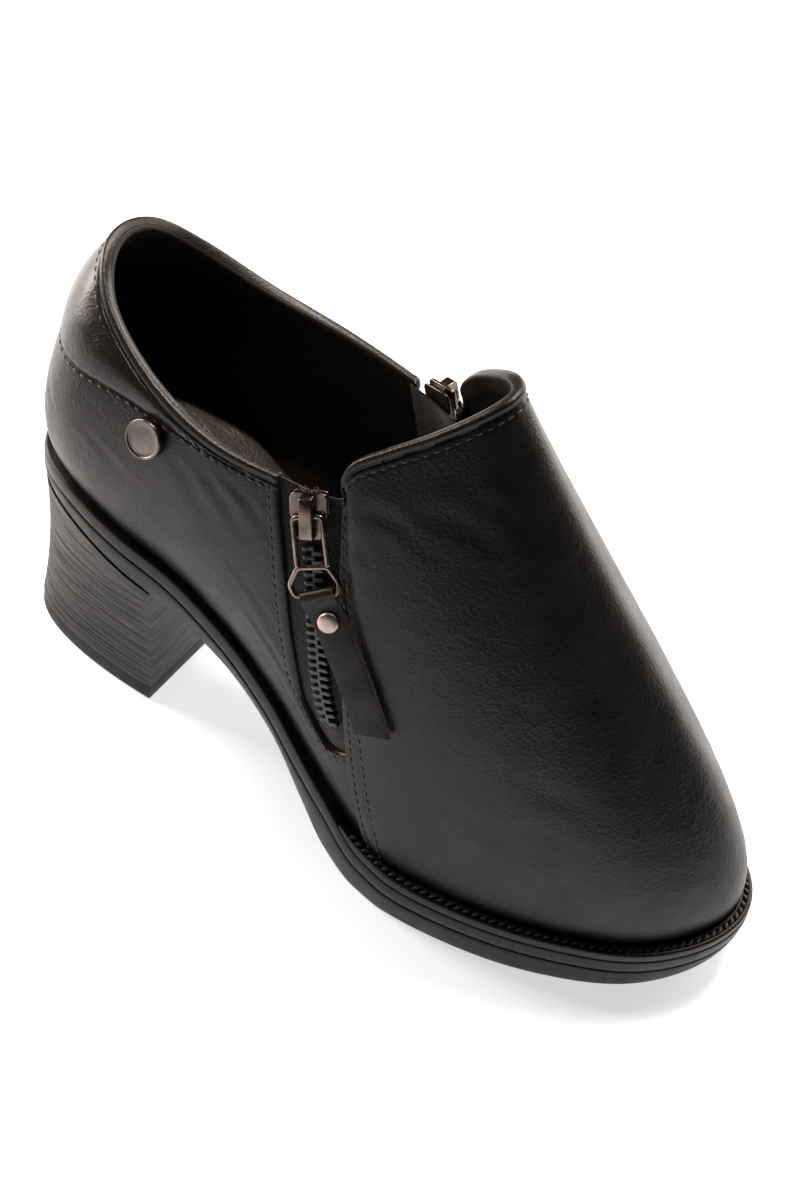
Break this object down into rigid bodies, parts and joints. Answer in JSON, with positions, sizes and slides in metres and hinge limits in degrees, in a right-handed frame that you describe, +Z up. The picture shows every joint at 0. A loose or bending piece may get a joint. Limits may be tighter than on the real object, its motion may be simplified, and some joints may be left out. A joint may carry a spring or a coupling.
{
  "type": "zip ankle boot",
  "caption": "Low black ankle boot for the right foot, with side zips, a round plain toe, a stitched welt, a two-layer sole and a stacked block heel.",
  "frame": {"origin": "on the floor, under the middle of the overall box", "axes": "+X towards the toe, +Y towards the inner (medial) side, +Z up"},
  "size_m": [0.2454, 0.0948, 0.1534],
  "materials": {
    "upper_leather": "smooth grained faux leather, semi-gloss",
    "welt_leather": "stitched rand, satin",
    "midsole_rubber": "smooth satin",
    "outsole_rubber": "smooth satin",
    "stacked_heel": "stacked-leather look with fine horizontal grooves",
    "lift_rubber": "matt",
    "sock_leather": "fine grained, matt",
    "zip_tape": "woven tape, matt",
    "zip_teeth": "moulded teeth, satin",
    "dark_nickel": "polished dark nickel",
    "brushed_nickel": "warm brushed nickel",
    "badge_metal": "polished dark nickel, face left plain",
    "strap_leather": "smooth, raw cut edge"
  },
  "bodies": {
    "boot": {"upper": "upper_leather", "welt": "welt_leather", "midsole": "midsole_rubber", "outsole": "outsole_rubber", "heel": "stacked_heel", "heel_top_lift": "lift_rubber", "insole": "sock_leather", "zip_tape_lateral": "zip_tape", "zip_tape_medial": "zip_tape", "zip_chain_lateral": "zip_teeth", "zip_chain_medial": "zip_teeth", "slider_lateral": "dark_nickel", "slider_medial": "dark_nickel", "badge": "badge_metal"},
    "lateral_tab": {"pull_tab_lateral": "dark_nickel", "pull_strap": "strap_leather", "strap_stud": "brushed_nickel"},
    "medial_tab": {"pull_tab_medial": "dark_nickel"}
  },
  "joints": [
    {"name": "lateral_tab_swing", "type": "hinge", "parent": "boot", "child": "lateral_tab", "pos_m": [-0.02199, -0.03205, 0.11339], "axis": [-0.8744, -0.3345, -0.3516], "range_deg": [0, 140]},
    {"name": "medial_tab_swing", "type": "hinge", "parent": "boot", "child": "medial_tab", "pos_m": [-0.01594, 0.03247, 0.11746], "axis": [0.8909, -0.3429, 0.298], "range_deg": [0, 140]}
  ]
}
